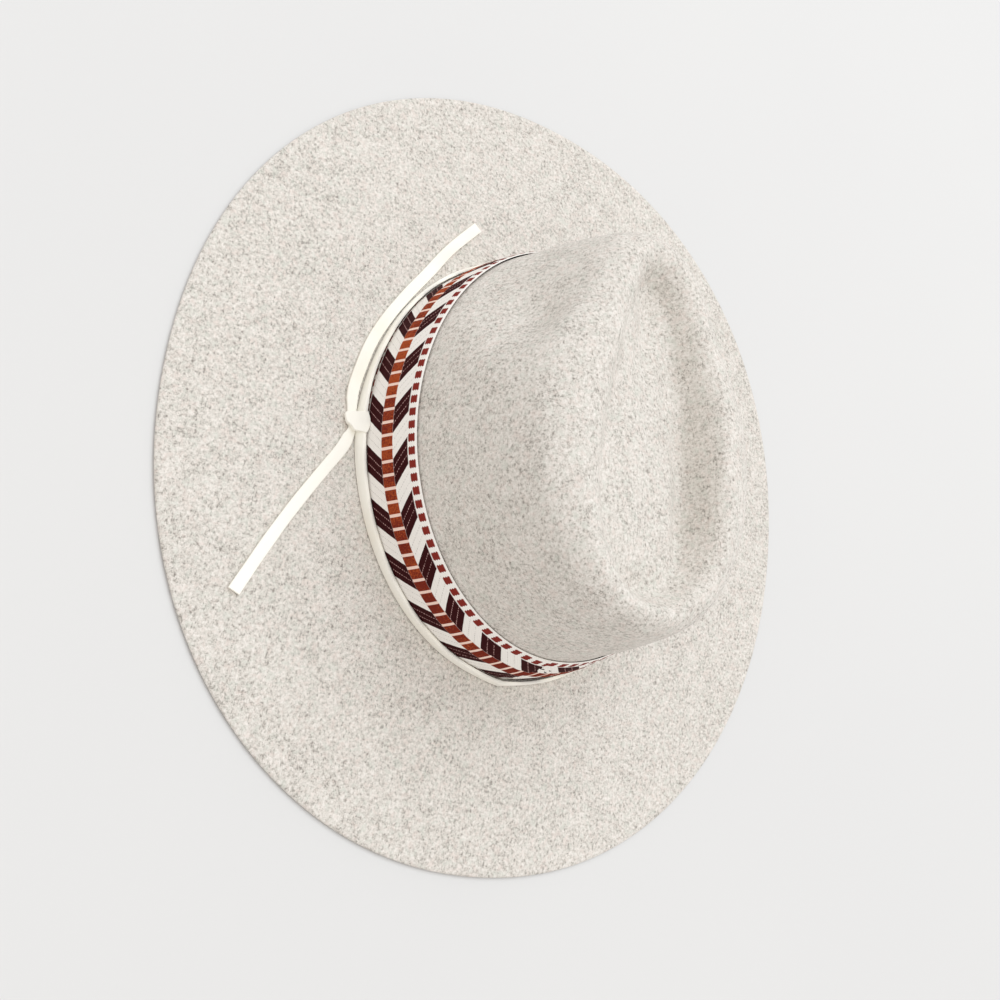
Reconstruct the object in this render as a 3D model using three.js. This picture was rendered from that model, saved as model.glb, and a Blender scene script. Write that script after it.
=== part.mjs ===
// Rancher hat: a pressed felt body with a flat brim and a teardrop crown, a woven ribbon round the foot of
// the crown, and a flat lace tied round the ribbon with two free ends that lie on the brim.
// Millimetres. +Z points up out of the crown, -Y is the front of the hat and +X is the wearer's left.
// The origin is the middle of the brim's underside, which is flat and rests on the surface.

import * as THREE from "three";

// Felt body
const HEAD_LENGTH = 199;
const HEAD_WIDTH = 168.5;
const FELT_WALL = 2.6;
const BRIM_LENGTH = 387.5;
const BRIM_WIDTH = 355.5;
const CROWN_HEIGHT = 108.5;
const FOOT_FILLET = 2.5;
const MARGIN_WIDTH = 9;
const MARGIN_DIP = 0.35;
const BRIM_SQUARENESS = 2.075;
const CROWN_SHIFT = 2.1;

// Front dents of the crown
const PINCH_FROM_FRONT = THREE.MathUtils.degToRad(52);
const PINCH_SPREAD = THREE.MathUtils.degToRad(20);

// Woven ribbon
const BAND_HEIGHT = 37.6;
const BAND_THICKNESS = 0.9;
const BAND_GAP = 0.3;

// Flat lace. LOOP_LIFT is how far the loop rides up on the fillet at the foot of the crown, and LOOP_SLACK
// how far it stands off the ribbon. The pulls are how far the knot draws the loop's two ends out, and how far
// the loop stands off where it is creased at the back.
const LACE_WIDTH = 5.5;
const LACE_THICKNESS = 1.6;
const LACE_GAP = 0.3;
const LOOP_LIFT = 0.3;
const LOOP_SLACK = 0.3;
const REAR_PULL = 1.8;
const REAR_PULL_SPREAD = THREE.MathUtils.degToRad(55);
const FRONT_PULL = 1.7;
const FRONT_PULL_SPREAD = THREE.MathUtils.degToRad(30);
const BACK_PULL = 1.6;
const BACK_PULL_SPREAD = THREE.MathUtils.degToRad(15);
const BACK_CREASE = THREE.MathUtils.degToRad(89);

// Knot of the lace, on the brim beside the ribbon
const KNOT_MIDDLE_X = 93.4;
const KNOT_MIDDLE_Y = 3.6;
const KNOT_LENGTH = 10;
const KNOT_WIDTH = 10;
const KNOT_HEIGHT = 8;
const KNOT_SQUARENESS = 3.4;
const KNOT_SIDES = 12;

// Facets
const AROUND = 64;
const LOOP_STEPS = 100;
const TAIL_STEPS = 24;

// Colours and finishes
const FELT_GREY = "#d9d5cd";
const RIBBON_RUST = "#8a4a38";
const LACE_CREAM = "#f3eddc";

const TURN = 2 * Math.PI;
const FRONT = 1.5 * Math.PI;
const FOOT_HALF_LENGTH = HEAD_LENGTH / 2 + FELT_WALL;
const FOOT_HALF_WIDTH = HEAD_WIDTH / 2 + FELT_WALL;
const BAND_FOOT = FELT_WALL + FOOT_FILLET;
const BAND_TOP = BAND_FOOT + BAND_HEIGHT;

// Outer face of the crown, from the foot of the ribbon up the wall, over the rim and down into the top.
// height and nose are shares of CROWN_HEIGHT, and nose is how much lower the front of the section lies.
// length, shift and pinch are shares of the half length at the foot: shift moves the section back, and
// pinch presses the two front dents in. width is a share of the half width at the foot. taper narrows the
// front of the section and widens its back. steps counts the rings up to the next section.
const CROWN_COLUMNS = ["height", "length", "width", "shift", "taper", "nose", "pinch", "steps"];
const CROWN_SECTIONS = tableOf(CROWN_COLUMNS, {
  foot: [bandShare(0), 1, 1, 0, -0.045, 0, 0, 1],
  ribbonLow: [bandShare(0.4), 0.994, 0.978, -0.003, -0.032, 0, 0, 1],
  ribbonHigh: [bandShare(0.7), 0.977, 0.957, -0.007, -0.022, 0, 0, 1],
  ribbonTop: [bandShare(1), 0.951, 0.929, -0.01, -0.013, 0, 0, 3],
  wall: [0.61, 0.939, 0.833, -0.016, 0.03, 0.005, 0.075, 3],
  shoulder: [0.855, 0.899, 0.703, -0.01, 0.08, 0.045, 0.088, 2],
  roll: [0.95, 0.863, 0.621, -0.002, 0.13, 0.07, 0.062, 2],
  crest: [1, 0.798, 0.486, 0.004, 0.2, 0.085, 0.035, 2],
  innerRoll: [0.972, 0.742, 0.39, 0.015, 0.27, 0.09, 0.015, 2],
  innerSlope: [0.908, 0.697, 0.322, 0.03, 0.34, 0.088, 0, 2],
  groove: [0.875, 0.661, 0.27, 0.035, 0.42, 0.072, 0, 2],
  lip: [0.9, 0.616, 0.193, 0.05, 0.6, 0.11, 0, 2],
  trough: [0.884, 0.404, 0.087, 0.04, 0.5, 0.08, 0, 1],
});
const FLOOR_MIDDLE = { height: 0.855, shift: 0.04 };
const NOSE_POWER = 1.5;
const RIBBON_SECTIONS = 4;

// Top face of the brim, from its edge to the foot of the crown. across is a share of the margin's width,
// counted from the edge, and dip is a share of the margin's dip.
const MARGIN_SECTIONS = [
  { across: 0.06, dip: 0.9 },
  { across: 0.35, dip: 0 },
  { across: 0.8, dip: 0.55 },
  { across: 1, dip: 1 },
  { across: 1.35, dip: 0.5 },
  { across: 1.9, dip: 0 },
];
const BRIM_SHARES = [0.3, 0.6];

// The knot from its rear end to its front end. along is a share of its length, counted from its middle.
// width and height are shares of the knot's, and lean is how far the wrap slants, as a share of its width.
const KNOT_SECTIONS = tableOf(["along", "width", "height", "lean"], {
  rearEnd: [0.5, 0.86, 0.8, 0],
  rearNeck: [0.4, 0.9, 0.84, 0],
  wrapRear: [0.24, 1, 1, 0.12],
  wrapFront: [-0.26, 1, 1, 0.12],
  frontNeck: [-0.4, 0.9, 0.84, 0],
  frontEnd: [-0.5, 0.86, 0.8, 0],
});

// The lace's ends lie flat on the brim. The points are chosen by hand, in millimetres, along its middle.
const SIDE_TAIL_ROUTE = [
  [94.2, 9.4],
  [94.9, 14.4],
  [97.3, 20],
  [100.6, 25.8],
  [106.5, 36.2],
  [112.1, 46.4],
  [117.3, 56.5],
  [124.2, 71],
  [132.6, 89.8],
];
const FRONT_TAIL_ROUTE = [
  [95.2, -1.7],
  [95.4, -9.5],
  [93.6, -21],
  [90, -35.7],
  [84.3, -49.4],
  [75.9, -64.9],
  [66.6, -80],
  [56.4, -97],
  [43, -114.8],
];

// Rows of a table, each with its name and its values under the column names.
function tableOf(columns, rows) {
  return Object.entries(rows).map(([name, values]) => {
    const entries = columns.map((column, index) => [column, values[index]]);
    return { name, ...Object.fromEntries(entries) };
  });
}

// Height of a point on the ribbon, from 0 at its foot to 1 at its top, as a share of the crown's height.
function bandShare(share) {
  return (BAND_FOOT + share * BAND_HEIGHT) / CROWN_HEIGHT;
}

// A closed curve round the crown at one height, seen from above. angle is counted from +X towards +Y.
function oval(halfLength, halfWidth, squareness, angle) {
  const across = Math.cos(angle);
  const along = Math.sin(angle);
  const power = 2 / squareness;
  return new THREE.Vector2(
    halfWidth * Math.sign(across) * Math.abs(across) ** power,
    halfLength * Math.sign(along) * Math.abs(along) ** power,
  );
}

// Catmull-Rom value between four equally spaced values.
function blend(before, from, to, after, share) {
  const square = share * share;
  const cube = square * share;
  return 0.5 * (
    2 * from + (to - before) * share
    + (2 * before - 5 * from + 4 * to - after) * square
    + (3 * from - before - 3 * to + after) * cube
  );
}

// A section of the crown between the rows at index and index + 1.
function sectionBetween(rows, index, share) {
  const pick = (offset) => rows[Math.min(Math.max(index + offset, 0), rows.length - 1)];
  const section = {};
  for (const column of CROWN_COLUMNS) {
    section[column] = blend(pick(-1)[column], pick(0)[column], pick(1)[column], pick(2)[column], share);
  }
  return section;
}

// A closed curve at a distance out from the crown's face, at the height of one of its sections.
function aroundCrown(section, out, angle) {
  const halfLength = section.length * FOOT_HALF_LENGTH + out;
  const point = oval(halfLength, section.width * FOOT_HALF_WIDTH + out, 2, angle);
  point.x *= 1 + section.taper * Math.sin(angle);
  point.y += CROWN_SHIFT + section.shift * FOOT_HALF_LENGTH;
  return point;
}

function aroundFoot(out, angle) {
  return aroundCrown(CROWN_SECTIONS[0], out, angle);
}

// How far into a front dent an angle lies, from 0 outside to 1 in its middle.
function pinchAt(angle) {
  const fromFront = Math.abs(Math.atan2(Math.sin(angle - FRONT), Math.cos(angle - FRONT)));
  return Math.exp(-(((fromFront - PINCH_FROM_FRONT) / PINCH_SPREAD) ** 2));
}

// A point of a crown section at an angle.
function crownPoint(section, angle) {
  const along = Math.sin(angle);
  const towardFront = (1 - along) / 2;
  const pinch = section.pinch * FOOT_HALF_LENGTH * pinchAt(angle);
  const reach = 1 - pinch / Math.hypot(
    section.width * FOOT_HALF_WIDTH * Math.cos(angle),
    section.length * FOOT_HALF_LENGTH * along,
  );
  return new THREE.Vector3(
    section.width * FOOT_HALF_WIDTH * Math.cos(angle) * (1 + section.taper * along) * reach,
    CROWN_SHIFT + (section.shift + section.length * along * reach) * FOOT_HALF_LENGTH,
    (section.height - section.nose * towardFront ** NOSE_POWER) * CROWN_HEIGHT,
  );
}

// Rings of points over the crown's outer face, from the foot of the wall to the middle of the top.
function crownRings() {
  const sections = CROWN_SECTIONS.flatMap((row, index) => (
    Array.from({ length: row.steps }, (_, step) => sectionBetween(CROWN_SECTIONS, index, step / row.steps))
  ));
  return sections.map((section) => ring((angle) => crownPoint(section, angle)));
}

// One point for each facet round the hat.
function ring(pointAt) {
  return Array.from({ length: AROUND }, (_, index) => pointAt((TURN * index) / AROUND));
}

// Rings over the brim's top face, from the edge to the start of the fillet at the foot of the crown.
function brimRings() {
  const foot = (angle) => aroundFoot(FOOT_FILLET, angle);
  const edge = (angle) => oval(BRIM_LENGTH / 2, BRIM_WIDTH / 2, BRIM_SQUARENESS, angle);
  const at = (inward, height) => ring((angle) => {
    const outer = edge(angle);
    const span = outer.distanceTo(foot(angle));
    const point = outer.lerp(foot(angle), Math.min(inward(span), 1));
    return new THREE.Vector3(point.x, point.y, height);
  });
  const margin = MARGIN_SECTIONS.map((row) => at(
    (span) => (row.across * MARGIN_WIDTH) / span,
    FELT_WALL - row.dip * MARGIN_DIP,
  ));
  return [...margin, ...BRIM_SHARES.map((share) => at(() => share, FELT_WALL)), at(() => 1, FELT_WALL)];
}

// Rings over the fillet between the brim and the crown's wall.
function filletRings() {
  const shares = [1 / 3, 2 / 3];
  return shares.map((share) => ring((angle) => {
    const turn = (share * Math.PI) / 2;
    const out = FOOT_FILLET * (1 - Math.sin(turn));
    const point = aroundFoot(out, angle);
    return new THREE.Vector3(point.x, point.y, FELT_WALL + FOOT_FILLET * (1 - Math.cos(turn)));
  }));
}

// The same rings one wall thickness further in, along the face's normals.
function innerRings(rings, pole, wall) {
  return rings.map((points, row) => points.map((point, column) => {
    const next = points[(column + 1) % AROUND];
    const last = points[(column + AROUND - 1) % AROUND];
    const above = row + 1 < rings.length ? rings[row + 1][column] : pole;
    const below = row > 0 ? rings[row - 1][column] : point;
    const across = new THREE.Vector3().subVectors(next, last);
    const inward = new THREE.Vector3().subVectors(above, below);
    const normal = across.cross(inward).normalize();
    return point.clone().addScaledVector(normal, -wall);
  }));
}

// Closed skin through rings of equal counts, with a middle point in the first or last ring if one is given.
function skin(rings, firstPole, lastPole, closed = false) {
  const count = rings[0].length;
  const positions = rings.flat().flatMap((point) => point.toArray());
  const triangles = [];
  const rows = closed ? rings.length : rings.length - 1;
  for (let row = 0; row < rows; row += 1) {
    const here = row * count;
    const there = ((row + 1) % rings.length) * count;
    for (let column = 0; column < count; column += 1) {
      const next = (column + 1) % count;
      triangles.push(here + column, here + next, there + next);
      triangles.push(here + column, there + next, there + column);
    }
  }
  for (const [pole, start, flip] of [[firstPole, 0, true], [lastPole, (rings.length - 1) * count, false]]) {
    if (!pole) continue;
    const middle = positions.length / 3;
    positions.push(...pole.toArray());
    for (let column = 0; column < count; column += 1) {
      const next = (column + 1) % count;
      const pair = [start + column, start + next];
      triangles.push(...(flip ? pair.reverse() : pair), middle);
    }
  }
  const geometry = new THREE.BufferGeometry();
  geometry.setAttribute("position", new THREE.Float32BufferAttribute(positions, 3));
  geometry.setIndex(triangles);
  return geometry;
}

// Brim and crown in one hollow skin: up the inside, out under the brim, over its edge and up the outside.
function feltBody() {
  const crown = [...filletRings(), ...crownRings()];
  const middle = CROWN_SHIFT + FLOOR_MIDDLE.shift * FOOT_HALF_LENGTH;
  const top = new THREE.Vector3(0, middle, FLOOR_MIDDLE.height * CROWN_HEIGHT);
  const brim = brimRings();
  const inside = innerRings([brim.at(-1), ...crown], top, FELT_WALL).slice(1);
  const throat = ring((angle) => {
    const point = aroundFoot(FOOT_FILLET, angle);
    return new THREE.Vector3(point.x, point.y, 0);
  });
  const edge = ring((angle) => {
    const point = oval(BRIM_LENGTH / 2, BRIM_WIDTH / 2, BRIM_SQUARENESS, angle);
    return new THREE.Vector3(point.x, point.y, FELT_WALL / 2);
  });
  const under = brim[0].map((point) => new THREE.Vector3(point.x, point.y, 0));
  const insideTop = new THREE.Vector3(top.x, top.y, top.z - FELT_WALL);
  const rings = [...inside.reverse(), throat, under, edge, ...brim, ...crown];
  return skin(rings, insideTop, top);
}

// The ribbon lies round the wall, from the foot of the crown to its own top.
function hatBand() {
  const rows = CROWN_SECTIONS.slice(0, RIBBON_SECTIONS);
  const face = (sections, out) => sections.map((section) => ring((angle) => {
    const point = aroundCrown(section, out, angle);
    return new THREE.Vector3(point.x, point.y, section.height * CROWN_HEIGHT);
  }));
  const outer = face(rows, BAND_GAP + BAND_THICKNESS);
  const inner = face([...rows].reverse(), BAND_GAP);
  return skin([...outer, ...inner], null, null, true);
}

const LACE_FOOT = FELT_WALL + LACE_GAP;
const LACE_NEAR = BAND_GAP + BAND_THICKNESS + LACE_GAP + LOOP_SLACK;

// The loop stands on edge against the foot of the ribbon, from the knot's rear end round to its front end.
function laceLoop() {
  const reach = FOOT_HALF_LENGTH + LACE_NEAR;
  const rear = Math.asin((KNOT_MIDDLE_Y + KNOT_LENGTH / 2 + LACE_GAP - CROWN_SHIFT) / reach);
  const front = TURN + Math.asin((KNOT_MIDDLE_Y - KNOT_LENGTH / 2 - LACE_GAP - CROWN_SHIFT) / reach);
  const pull = (amount, spread, away) => amount * Math.max(0, 1 - away / spread) ** 2;
  const step = (front - rear) / LOOP_STEPS;
  const crease = rear + Math.round((BACK_CREASE - rear) / step) * step;
  const rings = Array.from({ length: LOOP_STEPS + 1 }, (_, index) => {
    const angle = rear + step * index;
    const drawnByKnot = pull(REAR_PULL, REAR_PULL_SPREAD, angle - rear)
      + pull(FRONT_PULL, FRONT_PULL_SPREAD, front - angle);
    const drawn = drawnByKnot + pull(BACK_PULL, BACK_PULL_SPREAD, Math.abs(angle - crease));
    const corner = (height, out) => {
      const point = aroundFoot(out + drawn, angle);
      return new THREE.Vector3(point.x, point.y, height);
    };
    const low = LACE_FOOT + LOOP_LIFT;
    const high = low + LACE_WIDTH;
    const far = LACE_NEAR + LACE_THICKNESS;
    return [corner(low, LACE_NEAR), corner(high, LACE_NEAR), corner(high, far), corner(low, far)];
  });
  const middle = (points) => new THREE.Box3().setFromPoints(points).getCenter(new THREE.Vector3());
  return skin(rings, middle(rings[0]), middle(rings.at(-1)));
}

// The knot is a lump with flat ends that the lace's strands meet, and a wrap that stands proud round it.
function laceKnot() {
  const rings = KNOT_SECTIONS.map((section) => {
    const halfWidth = (section.width * KNOT_WIDTH) / 2;
    const halfHeight = (section.height * KNOT_HEIGHT) / 2;
    return Array.from({ length: KNOT_SIDES }, (_, index) => {
      const point = oval(halfHeight, halfWidth, KNOT_SQUARENESS, (TURN * (index + 0.5)) / KNOT_SIDES);
      const along = section.along * KNOT_LENGTH - section.lean * point.x;
      const height = LACE_FOOT + halfHeight + point.y;
      return new THREE.Vector3(KNOT_MIDDLE_X + point.x, KNOT_MIDDLE_Y + along, height);
    });
  });
  const end = (section) => new THREE.Vector3(
    KNOT_MIDDLE_X,
    KNOT_MIDDLE_Y + section.along * KNOT_LENGTH,
    LACE_FOOT + (section.height * KNOT_HEIGHT) / 2,
  );
  return skin(rings, end(KNOT_SECTIONS[0]), end(KNOT_SECTIONS.at(-1)));
}

// A free end of the lace, lying flat on the brim along a route.
function laceTail(route) {
  const height = LACE_FOOT + LACE_THICKNESS / 2;
  const path = new THREE.CatmullRomCurve3(route.map(([x, y]) => new THREE.Vector3(x, y, height)));
  const thick = LACE_THICKNESS / 2;
  const wide = LACE_WIDTH / 2;
  const bevel = LACE_THICKNESS / 4;
  const section = new THREE.Shape([
    new THREE.Vector2(thick, wide - bevel),
    new THREE.Vector2(thick - bevel, wide),
    new THREE.Vector2(bevel - thick, wide),
    new THREE.Vector2(-thick, wide - bevel),
    new THREE.Vector2(-thick, bevel - wide),
    new THREE.Vector2(bevel - thick, -wide),
    new THREE.Vector2(thick - bevel, -wide),
    new THREE.Vector2(thick, bevel - wide),
  ]);
  return new THREE.ExtrudeGeometry(section, { steps: TAIL_STEPS, extrudePath: path, bevelEnabled: false });
}

function piece(name, geometry, colour, roughness) {
  const material = new THREE.MeshStandardMaterial({ color: colour, roughness, metalness: 0 });
  const mesh = new THREE.Mesh(geometry, material);
  mesh.name = name;
  return mesh;
}

const group = new THREE.Group();
group.add(piece("felt_body", feltBody(), FELT_GREY, 0.95));
group.add(piece("hat_band", hatBand(), RIBBON_RUST, 0.85));
group.add(piece("lace_loop", laceLoop(), LACE_CREAM, 0.8));
group.add(piece("lace_knot", laceKnot(), LACE_CREAM, 0.8));
group.add(piece("lace_tail_front", laceTail(FRONT_TAIL_ROUTE), LACE_CREAM, 0.8));
group.add(piece("lace_tail_side", laceTail(SIDE_TAIL_ROUTE), LACE_CREAM, 0.8));

export default group;
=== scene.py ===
"""Rancher hat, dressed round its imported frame.

Heathered pressed felt, a woven chevron ribbon round the foot of the crown, and a flat faux-suede lace tied
round the ribbon. Lengths are in metres. +Z points up out of the crown, -Y is the front and +X the wearer's
left, where the lace is knotted.
"""

import logging
import math
from dataclasses import dataclass
from enum import Enum
from typing import Callable, Sequence

import bpy
import numpy as np
from mathutils import Matrix, Vector, noise


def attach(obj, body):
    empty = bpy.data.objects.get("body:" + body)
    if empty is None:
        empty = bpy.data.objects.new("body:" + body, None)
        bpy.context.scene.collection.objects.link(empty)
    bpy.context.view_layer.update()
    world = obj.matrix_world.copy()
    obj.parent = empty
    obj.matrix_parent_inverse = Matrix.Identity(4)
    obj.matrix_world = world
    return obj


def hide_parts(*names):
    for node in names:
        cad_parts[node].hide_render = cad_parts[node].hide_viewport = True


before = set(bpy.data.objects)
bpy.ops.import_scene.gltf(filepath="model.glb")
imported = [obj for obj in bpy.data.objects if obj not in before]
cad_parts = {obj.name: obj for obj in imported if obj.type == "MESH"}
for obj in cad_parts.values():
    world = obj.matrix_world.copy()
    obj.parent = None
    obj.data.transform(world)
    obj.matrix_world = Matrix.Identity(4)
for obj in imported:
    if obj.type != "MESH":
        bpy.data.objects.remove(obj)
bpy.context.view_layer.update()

MM = 0.001
TURN = 2 * math.pi
SAME_POINT = 1e-6
QUAD_ANGLE = 75
BODY = "root"
log = logging.getLogger("rancher_hat")

Socket = bpy.types.NodeSocket
Value = float | Socket
Point = tuple[float, float, float]
Span = tuple[float, float]
Colour = tuple[int, int, int]
Walk = tuple[np.ndarray, np.ndarray]


class Slot(Enum):
    """The material slots."""

    FELT = "felt"
    RIBBON = "ribbon"
    LACE = "lace"


def linear(red: int, green: int, blue: int) -> tuple[float, float, float, float]:
    """Turn a colour as it looks on a screen into the linear one that a shader takes.

    Args:
        red: Red, from 0 to 255.
        green: Green, from 0 to 255.
        blue: Blue, from 0 to 255.

    Returns:
        The linear colour, opaque.
    """
    shares = (channel / 255 for channel in (red, green, blue))
    low, gain = 0.04045, 12.92
    return (*(s / gain if s <= low else ((s + 0.055) / 1.055) ** 2.4 for s in shares), 1.0)


class Wiring:
    """Adds shader nodes to one tree and joins them up."""

    def __init__(self, tree: bpy.types.NodeTree) -> None:
        """Start on a node tree."""
        self.tree = tree

    def node(self, kind: str, **settings: object) -> bpy.types.Node:
        """Add a node.

        Args:
            kind: The node's type, without the words ShaderNode.
            settings: Properties of the node.

        Returns:
            The node.
        """
        made = self.tree.nodes.new("ShaderNode" + kind)
        for name, value in settings.items():
            setattr(made, name, value)
        return made

    def join(self, value: Value | Sequence[float], socket: Socket) -> None:
        """Link a socket to another, or set a plain value on it."""
        if isinstance(value, bpy.types.NodeSocket):
            self.tree.links.new(value, socket)
        else:
            socket.default_value = value

    def math(self, operation: str, *values: Value, clamp: bool = False) -> Socket:
        """Add a Math node.

        Args:
            operation: Its operation.
            values: Its inputs in order, numbers or sockets.
            clamp: Whether its result is kept from 0 to 1.

        Returns:
            Its result.
        """
        made = self.node("Math", operation=operation, use_clamp=clamp)
        for value, socket in zip(values, made.inputs):
            self.join(value, socket)
        return made.outputs[0]

    def times(self, first: Value, second: Value) -> Socket:
        """Multiply two values."""
        return self.math("MULTIPLY", first, second)

    def scaled(self, value: Value, gain: Value, rest: Value) -> Socket:
        """Multiply a value by a gain and add the rest."""
        return self.math("MULTIPLY_ADD", value, gain, rest)

    def less(self, first: Value, second: Value) -> Socket:
        """Take the second value from the first."""
        return self.math("SUBTRACT", first, second)

    def wave(self, value: Value, pitch: float) -> Socket:
        """Draw a sine along a value, one whole wave to each pitch."""
        return self.math("SINE", self.times(value, TURN / pitch))

    def beat(self, value: Value, pitch: float) -> Socket:
        """Tell how far a value is through its pitch, from 0 to 1."""
        return self.math("FRACT", self.math("DIVIDE", value, pitch))

    def from_middle(self, value: Value, middle: float) -> Socket:
        """Tell how far a value lies from a middle, on either side."""
        return self.math("ABSOLUTE", self.less(value, middle))

    def step(self, value: Value, start: float, end: float) -> Socket:
        """Go smoothly from 0 to 1 while a value goes from start to end."""
        made = self.node("MapRange", interpolation_type="SMOOTHSTEP")
        for source, name in ((value, "Value"), (start, "From Min"), (end, "From Max")):
            self.join(source, made.inputs[name])
        return made.outputs["Result"]

    def band(self, value: Value, low: float, high: float, soft: float) -> Socket:
        """Give 1 where a value lies between two numbers, and 0 outside, with soft sides.

        Args:
            value: The value that is tested.
            low: Where the band starts.
            high: Where the band ends.
            soft: How wide its soft sides are.

        Returns:
            The band.
        """
        rise = self.step(value, low - soft / 2, low + soft / 2)
        fall = self.step(value, high - soft / 2, high + soft / 2)
        return self.math("SUBTRACT", rise, fall, clamp=True)

    def blend(self, share: Value, first: Value | Sequence[float], second: Value | Sequence[float]) -> Socket:
        """Mix two colours.

        Args:
            share: How much of the second colour there is.
            first: The colour at 0.
            second: The colour at 1.

        Returns:
            The mixed colour.
        """
        made = self.node("Mix", data_type="RGBA", clamp_factor=True)
        self.join(share, made.inputs["Factor"])
        self.join(first, made.inputs[6])
        self.join(second, made.inputs[7])
        return made.outputs[2]

    def noise(
        self, place: Socket, scale: Value, detail: float, rough: float = 0.5, swirl: float = 0.0
    ) -> Socket:
        """Add a Noise Texture node.

        Args:
            place: Where it is read.
            scale: Its scale, in repeats a metre.
            detail: How many finer layers it has.
            rough: How strong the finer layers are.
            swirl: How much it is distorted.

        Returns:
            Its value, near 0.5 on average.
        """
        made = self.node("TexNoise", normalize=True)
        for source, name in (
            (place, "Vector"),
            (scale, "Scale"),
            (detail, "Detail"),
            (rough, "Roughness"),
            (swirl, "Distortion"),
        ):
            self.join(source, made.inputs[name])
        return made.outputs["Fac"]

    def stretched(self, place: Socket, turn: Sequence[float], stretch: Sequence[float]) -> Socket:
        """Turn and stretch a place, so that a noise read there runs in streaks."""
        made = self.node("Mapping")
        self.join(place, made.inputs["Vector"])
        made.inputs["Rotation"].default_value = turn
        made.inputs["Scale"].default_value = stretch
        return made.outputs[0]

    def group(self, tree: bpy.types.NodeTree, **values: Value) -> bpy.types.Node:
        """Place a node group, with its inputs given by name, spaces as underscores."""
        made = self.node("Group", node_tree=tree)
        for name, value in values.items():
            self.join(value, made.inputs[name.replace("_", " ")])
        return made


def group_tree(
    name: str, inputs: dict[str, str], outputs: dict[str, str]
) -> tuple[bpy.types.NodeTree, Wiring]:
    """Start a shader node group with named sockets.

    Args:
        name: The group's name.
        inputs: The kind of each input socket by name, such as Float or Vector.
        outputs: The kind of each output socket by name.

    Returns:
        The group, and the wiring to fill it with.
    """
    tree = bpy.data.node_groups.new(name, "ShaderNodeTree")
    for sockets, way in ((inputs, "INPUT"), (outputs, "OUTPUT")):
        for label, kind in sockets.items():
            tree.interface.new_socket(name=label, in_out=way, socket_type="NodeSocket" + kind)
    return tree, Wiring(tree)


@dataclass(frozen=True)
class Nap:
    """Soft brushed surface, which felt and faux suede share: fine hairs among coarser tufts."""

    tuft_scale: float = 0.31
    hair_swirl: float = 0.4
    tuft_swirl: float = 0.8
    hair_tint: float = 0.6
    hair_height: float = 0.7

    def group(self) -> bpy.types.NodeTree:
        """Build the node group.

        Returns:
            A group with a fine Tint, from 0 to 1 and 0.5 on average, and a Height for a bump.
        """
        tree, wire = group_tree(
            "soft nap", {"Place": "Vector", "Scale": "Float"}, {"Tint": "Float", "Height": "Float"}
        )
        source = tree.nodes.new("NodeGroupInput")
        sink = tree.nodes.new("NodeGroupOutput")
        place, scale = source.outputs["Place"], source.outputs["Scale"]
        hairs = wire.noise(place, scale, 3, 0.6, self.hair_swirl)
        tufts = wire.noise(place, wire.times(scale, self.tuft_scale), 2, 0.5, self.tuft_swirl)
        for label, share in (("Tint", self.hair_tint), ("Height", self.hair_height)):
            mixed = wire.scaled(tufts, 1 - share, wire.times(hairs, share))
            wire.join(mixed, sink.inputs[label])
        return tree


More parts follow.
